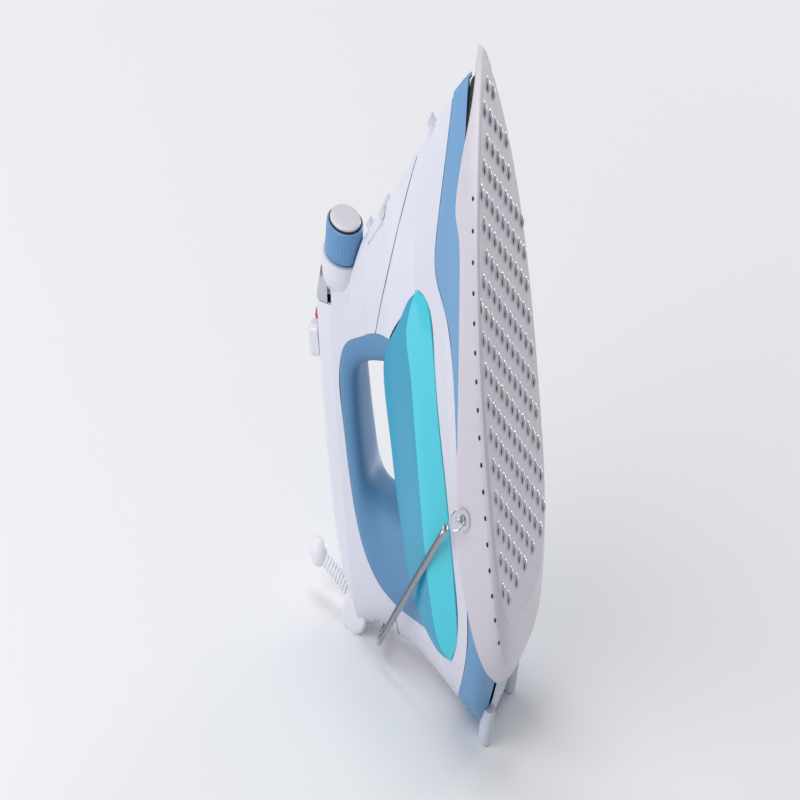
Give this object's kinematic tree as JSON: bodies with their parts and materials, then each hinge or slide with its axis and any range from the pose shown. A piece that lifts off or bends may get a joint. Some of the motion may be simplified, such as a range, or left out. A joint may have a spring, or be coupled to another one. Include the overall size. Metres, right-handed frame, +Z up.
{
  "type": "clothes iron",
  "caption": "Steam iron with finger-gap handle, side water tank, front dial and a dimpled clip-on ironing shoe held by a spring round the heel.",
  "frame": {"origin": "on the table under the middle of the iron, which stands on its heel", "axes": "+Z up from the table towards the nose, +X out of the sole side, +Y to the iron's left"},
  "size_m": [0.1972, 0.1288, 0.2843],
  "materials": {
    "pearl_plastic": "pearl white, satin moulded",
    "chrome": "bright chrome plate",
    "spring_steel": "bright drawn wire",
    "cast_aluminium": "machined casting",
    "element_steel": "dull heat-tinted steel",
    "black_phenolic": "matt heat-resistant moulding",
    "pale_plastic": "pale grey-blue, satin",
    "blue_plastic": "mid blue, satin",
    "screw_steel": "zinc plated",
    "white_plastic": "white, smooth moulded",
    "tank_plastic": "translucent cyan",
    "soft_grip": "soft-touch blue overmould",
    "button_chrome": "chrome plated plastic",
    "inner_plastic": "natural moulded",
    "red_lens": "translucent red",
    "board_green": "solder-masked board",
    "gasket_rubber": "silicone",
    "pale_rubber": "pale flexible moulding"
  },
  "bodies": {
    "iron": {"shoe_shell": "pearl_plastic", "shoe_eyelets": "chrome", "split_rings": "chrome", "shoe_spring": "spring_steel", "soleplate": "cast_aluminium", "heating_element": "element_steel", "steam_cover": "cast_aluminium", "thermostat": "element_steel", "thermal_fuse": "element_steel", "heat_shield": "black_phenolic", "heel_base": "pale_plastic", "skirt": "blue_plastic", "base_screws": "screw_steel", "rear_cover": "white_plastic", "rear_screws": "screw_steel", "body_shell": "white_plastic", "handle_cover": "white_plastic", "water_tank": "tank_plastic", "grip": "soft_grip", "dial_control": "black_phenolic", "steam_pump": "inner_plastic", "spray_pump": "inner_plastic", "button_springs": "spring_steel", "slide_switch": "black_phenolic", "indicator_lens": "red_lens", "indicator_lamp": "inner_plastic", "control_board": "board_green", "board_screws": "screw_steel", "door_pin": "screw_steel", "filler_neck": "inner_plastic", "filler_gasket": "gasket_rubber", "drip_valve": "inner_plastic", "pump_tubes": "gasket_rubber", "spray_nozzle": "white_plastic", "terminal_block": "inner_plastic", "cord_gland": "pale_plastic"},
    "dial": {"dial": "blue_plastic", "dial_cap": "pale_plastic", "dial_shaft": "black_phenolic"},
    "steam_button": {"steam_button": "button_chrome"},
    "spray_button": {"spray_button": "button_chrome"},
    "slider": {"slider_knob": "white_plastic"},
    "filler_door": {"filler_door": "white_plastic"},
    "cord_guard": {"cord_guard": "pale_rubber"}
  },
  "joints": [
    {"name": "dial_turn", "type": "hinge", "parent": "iron", "child": "dial", "pos_m": [-0.08063, 0, 0.15789], "axis": [-0.1003, 0, 0.995], "range_deg": [0, 270]},
    {"name": "steam_press", "type": "slide", "parent": "iron", "child": "steam_button", "axis": [0.9288, 0, 0.3706], "range_m": [0, 0.003], "stiffness_N_per_m": 900},
    {"name": "spray_press", "type": "slide", "parent": "iron", "child": "spray_button", "axis": [0.9288, 0, 0.3706], "range_m": [0, 0.003], "stiffness_N_per_m": 900},
    {"name": "slider_slide", "type": "slide", "parent": "iron", "child": "slider", "axis": [0.3706, 0, -0.9288], "range_m": [0, 0.01]},
    {"name": "door_swing", "type": "hinge", "parent": "iron", "child": "filler_door", "pos_m": [-0.05362, 0, 0.19031], "axis": [0, 1, 0], "range_deg": [0, 75]},
    {"name": "guard_swing", "type": "hinge", "parent": "iron", "child": "cord_guard", "pos_m": [-0.03368, 0, 0.0092], "axis": [0.263, 0, 0.9648], "range_deg": [-35, 35]}
  ]
}
